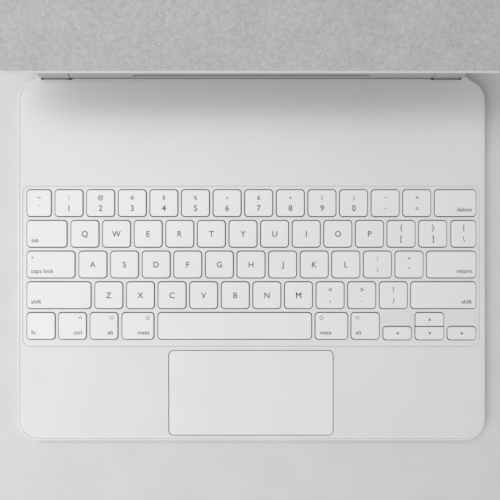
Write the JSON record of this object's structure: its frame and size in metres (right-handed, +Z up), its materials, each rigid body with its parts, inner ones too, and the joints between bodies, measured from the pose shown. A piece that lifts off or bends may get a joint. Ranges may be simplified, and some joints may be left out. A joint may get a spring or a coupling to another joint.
{
  "type": "tablet keyboard case",
  "caption": "Folding tablet stand case: slim keyboard base with trackpad, a hinged flap at its rear edge, and a floating panel that carries the tablet.",
  "frame": {"origin": "centre of the underside of the keyboard base", "axes": "+X to the right of a typing user, +Y towards the hinge, +Z up"},
  "size_m": [0.281, 0.3294, 0.2036],
  "materials": {
    "shell_white": "fine satin grain",
    "deck_white": "smooth satin",
    "bezel_white": "satin",
    "trackpad_white": "satin",
    "plate_steel": "plain",
    "screw_steel": "plain",
    "membrane_rubber": "matte",
    "scissor_plastic": "matte",
    "board_green": "solder mask",
    "socket_steel": "satin",
    "hinge_metal": "bead blasted",
    "shaft_steel": "ground",
    "core_board": "glass fibre board",
    "skin_white": "soft skin, fine grain",
    "lining_grey": "microfibre",
    "magnet_metal": "plated",
    "contact_plastic": "satin",
    "contact_gold": "plated",
    "switch_plastic": "matte",
    "key_white": "fine satin"
  },
  "bodies": {
    "base": {"base_shell": "shell_white", "deck_top": "deck_white", "key_bezel": "bezel_white", "key_backplate": "plate_steel", "dome_sheet": "membrane_rubber", "scissor_frames": "scissor_plastic", "logic_board": "board_green", "hinge_knuckles": "hinge_metal", "charging_socket": "socket_steel", "backplate_screws": "screw_steel", "trackpad_switch": "switch_plastic"},
    "flap": {"hinge_barrel": "hinge_metal", "hinge_shafts": "shaft_steel", "flap_core": "core_board", "flap_skin": "skin_white", "flap_lining": "lining_grey"},
    "fold_link": {"fold_pin": "shaft_steel"},
    "panel": {"panel_core": "core_board", "panel_skin": "skin_white", "panel_lining": "lining_grey", "panel_magnets": "magnet_metal", "contact_block": "contact_plastic"},
    "contact_pins": {"contact_pins": "contact_gold"},
    "trackpad": {"trackpad_plate": "trackpad_white"},
    "key_a": {"key_a": "key_white"},
    "key_b": {"key_b": "key_white"},
    "key_c": {"key_c": "key_white"},
    "key_caps_lock": {"key_caps_lock": "key_white"},
    "key_d": {"key_d": "key_white"},
    "key_delete": {"key_delete": "key_white"},
    "key_e": {"key_e": "key_white"},
    "key_f": {"key_f": "key_white"},
    "key_g": {"key_g": "key_white"},
    "key_h": {"key_h": "key_white"},
    "key_i": {"key_i": "key_white"},
    "key_j": {"key_j": "key_white"},
    "key_k": {"key_k": "key_white"},
    "key_l": {"key_l": "key_white"},
    "key_m": {"key_m": "key_white"},
    "key_n": {"key_n": "key_white"},
    "key_o": {"key_o": "key_white"},
    "key_p": {"key_p": "key_white"},
    "key_q": {"key_q": "key_white"},
    "key_r": {"key_r": "key_white"},
    "key_return": {"key_return": "key_white"},
    "key_s": {"key_s": "key_white"},
    "key_shift_left": {"key_shift_left": "key_white"},
    "key_shift_right": {"key_shift_right": "key_white"},
    "key_space": {"key_space": "key_white"},
    "key_t": {"key_t": "key_white"},
    "key_tab": {"key_tab": "key_white"},
    "key_u": {"key_u": "key_white"},
    "key_v": {"key_v": "key_white"},
    "key_w": {"key_w": "key_white"},
    "key_x": {"key_x": "key_white"},
    "key_y": {"key_y": "key_white"},
    "key_z": {"key_z": "key_white"},
    "keys_arrows": {"keys_arrows": "key_white"},
    "keys_modifiers": {"keys_modifiers": "key_white"},
    "keys_numbers_symbols": {"keys_numbers_symbols": "key_white"}
  },
  "joints": [
    {"name": "cover_hinge", "type": "hinge", "parent": "base", "child": "flap", "pos_m": [0, 0.1145, 0.009], "axis": [-1, 0, 0], "range_deg": [-100, 0]},
    {"name": "panel_fold", "type": "hinge", "parent": "flap", "child": "fold_link", "pos_m": [0, 0.13603, 0.08847], "axis": [-1, 0, 0], "range_deg": [-26.6, 0.2]},
    {"name": "panel_tilt", "type": "hinge", "parent": "fold_link", "child": "panel", "pos_m": [0, 0.13603, 0.08847], "axis": [1, 0, 0], "range_deg": [-3.5, 26.5]},
    {"name": "contact_pins_slide", "type": "slide", "parent": "panel", "child": "contact_pins", "axis": [0, 0.8039, -0.5948], "range_m": [0, 0.0003], "stiffness_N_per_m": 400, "springref_m": -0.0008},
    {"name": "trackpad_click", "type": "slide", "parent": "base", "child": "trackpad", "axis": [0, 0, -1], "range_m": [0, 0.0003], "stiffness_N_per_m": 2000, "springref_m": -0.0004},
    {"name": "key_a_press", "type": "slide", "parent": "base", "child": "key_a", "axis": [0, 0, -1], "range_m": [0, 0.001], "stiffness_N_per_m": 450, "springref_m": -0.0004},
    {"name": "key_b_press", "type": "slide", "parent": "base", "child": "key_b", "axis": [0, 0, -1], "range_m": [0, 0.001], "stiffness_N_per_m": 450, "springref_m": -0.0004},
    {"name": "key_c_press", "type": "slide", "parent": "base", "child": "key_c", "axis": [0, 0, -1], "range_m": [0, 0.001], "stiffness_N_per_m": 450, "springref_m": -0.0004},
    {"name": "key_caps_lock_press", "type": "slide", "parent": "base", "child": "key_caps_lock", "axis": [0, 0, -1], "range_m": [0, 0.001], "stiffness_N_per_m": 450, "springref_m": -0.0004},
    {"name": "key_d_press", "type": "slide", "parent": "base", "child": "key_d", "axis": [0, 0, -1], "range_m": [0, 0.001], "stiffness_N_per_m": 450, "springref_m": -0.0004},
    {"name": "key_delete_press", "type": "slide", "parent": "base", "child": "key_delete", "axis": [0, 0, -1], "range_m": [0, 0.001], "stiffness_N_per_m": 450, "springref_m": -0.0004},
    {"name": "key_e_press", "type": "slide", "parent": "base", "child": "key_e", "axis": [0, 0, -1], "range_m": [0, 0.001], "stiffness_N_per_m": 450, "springref_m": -0.0004},
    {"name": "key_f_press", "type": "slide", "parent": "base", "child": "key_f", "axis": [0, 0, -1], "range_m": [0, 0.001], "stiffness_N_per_m": 450, "springref_m": -0.0004},
    {"name": "key_g_press", "type": "slide", "parent": "base", "child": "key_g", "axis": [0, 0, -1], "range_m": [0, 0.001], "stiffness_N_per_m": 450, "springref_m": -0.0004},
    {"name": "key_h_press", "type": "slide", "parent": "base", "child": "key_h", "axis": [0, 0, -1], "range_m": [0, 0.001], "stiffness_N_per_m": 450, "springref_m": -0.0004},
    {"name": "key_i_press", "type": "slide", "parent": "base", "child": "key_i", "axis": [0, 0, -1], "range_m": [0, 0.001], "stiffness_N_per_m": 450, "springref_m": -0.0004},
    {"name": "key_j_press", "type": "slide", "parent": "base", "child": "key_j", "axis": [0, 0, -1], "range_m": [0, 0.001], "stiffness_N_per_m": 450, "springref_m": -0.0004},
    {"name": "key_k_press", "type": "slide", "parent": "base", "child": "key_k", "axis": [0, 0, -1], "range_m": [0, 0.001], "stiffness_N_per_m": 450, "springref_m": -0.0004},
    {"name": "key_l_press", "type": "slide", "parent": "base", "child": "key_l", "axis": [0, 0, -1], "range_m": [0, 0.001], "stiffness_N_per_m": 450, "springref_m": -0.0004},
    {"name": "key_m_press", "type": "slide", "parent": "base", "child": "key_m", "axis": [0, 0, -1], "range_m": [0, 0.001], "stiffness_N_per_m": 450, "springref_m": -0.0004},
    {"name": "key_n_press", "type": "slide", "parent": "base", "child": "key_n", "axis": [0, 0, -1], "range_m": [0, 0.001], "stiffness_N_per_m": 450, "springref_m": -0.0004},
    {"name": "key_o_press", "type": "slide", "parent": "base", "child": "key_o", "axis": [0, 0, -1], "range_m": [0, 0.001], "stiffness_N_per_m": 450, "springref_m": -0.0004},
    {"name": "key_p_press", "type": "slide", "parent": "base", "child": "key_p", "axis": [0, 0, -1], "range_m": [0, 0.001], "stiffness_N_per_m": 450, "springref_m": -0.0004},
    {"name": "key_q_press", "type": "slide", "parent": "base", "child": "key_q", "axis": [0, 0, -1], "range_m": [0, 0.001], "stiffness_N_per_m": 450, "springref_m": -0.0004},
    {"name": "key_r_press", "type": "slide", "parent": "base", "child": "key_r", "axis": [0, 0, -1], "range_m": [0, 0.001], "stiffness_N_per_m": 450, "springref_m": -0.0004},
    {"name": "key_return_press", "type": "slide", "parent": "base", "child": "key_return", "axis": [0, 0, -1], "range_m": [0, 0.001], "stiffness_N_per_m": 450, "springref_m": -0.0004},
    {"name": "key_s_press", "type": "slide", "parent": "base", "child": "key_s", "axis": [0, 0, -1], "range_m": [0, 0.001], "stiffness_N_per_m": 450, "springref_m": -0.0004},
    {"name": "key_shift_left_press", "type": "slide", "parent": "base", "child": "key_shift_left", "axis": [0, 0, -1], "range_m": [0, 0.001], "stiffness_N_per_m": 450, "springref_m": -0.0004},
    {"name": "key_shift_right_press", "type": "slide", "parent": "base", "child": "key_shift_right", "axis": [0, 0, -1], "range_m": [0, 0.001], "stiffness_N_per_m": 450, "springref_m": -0.0004},
    {"name": "key_space_press", "type": "slide", "parent": "base", "child": "key_space", "axis": [0, 0, -1], "range_m": [0, 0.001], "stiffness_N_per_m": 450, "springref_m": -0.0004},
    {"name": "key_t_press", "type": "slide", "parent": "base", "child": "key_t", "axis": [0, 0, -1], "range_m": [0, 0.001], "stiffness_N_per_m": 450, "springref_m": -0.0004},
    {"name": "key_tab_press", "type": "slide", "parent": "base", "child": "key_tab", "axis": [0, 0, -1], "range_m": [0, 0.001], "stiffness_N_per_m": 450, "springref_m": -0.0004},
    {"name": "key_u_press", "type": "slide", "parent": "base", "child": "key_u", "axis": [0, 0, -1], "range_m": [0, 0.001], "stiffness_N_per_m": 450, "springref_m": -0.0004},
    {"name": "key_v_press", "type": "slide", "parent": "base", "child": "key_v", "axis": [0, 0, -1], "range_m": [0, 0.001], "stiffness_N_per_m": 450, "springref_m": -0.0004},
    {"name": "key_w_press", "type": "slide", "parent": "base", "child": "key_w", "axis": [0, 0, -1], "range_m": [0, 0.001], "stiffness_N_per_m": 450, "springref_m": -0.0004},
    {"name": "key_x_press", "type": "slide", "parent": "base", "child": "key_x", "axis": [0, 0, -1], "range_m": [0, 0.001], "stiffness_N_per_m": 450, "springref_m": -0.0004},
    {"name": "key_y_press", "type": "slide", "parent": "base", "child": "key_y", "axis": [0, 0, -1], "range_m": [0, 0.001], "stiffness_N_per_m": 450, "springref_m": -0.0004},
    {"name": "key_z_press", "type": "slide", "parent": "base", "child": "key_z", "axis": [0, 0, -1], "range_m": [0, 0.001], "stiffness_N_per_m": 450, "springref_m": -0.0004},
    {"name": "keys_arrows_press", "type": "slide", "parent": "base", "child": "keys_arrows", "axis": [0, 0, -1], "range_m": [0, 0.001], "stiffness_N_per_m": 900, "springref_m": -0.0004},
    {"name": "keys_modifiers_press", "type": "slide", "parent": "base", "child": "keys_modifiers", "axis": [0, 0, -1], "range_m": [0, 0.001], "stiffness_N_per_m": 900, "springref_m": -0.0004},
    {"name": "keys_numbers_symbols_press", "type": "slide", "parent": "base", "child": "keys_numbers_symbols", "axis": [0, 0, -1], "range_m": [0, 0.001], "stiffness_N_per_m": 900, "springref_m": -0.0004}
  ],
  "couplings": [
    {"joint": "panel_fold", "follows": "cover_hinge", "ratio": 0.265}
  ]
}
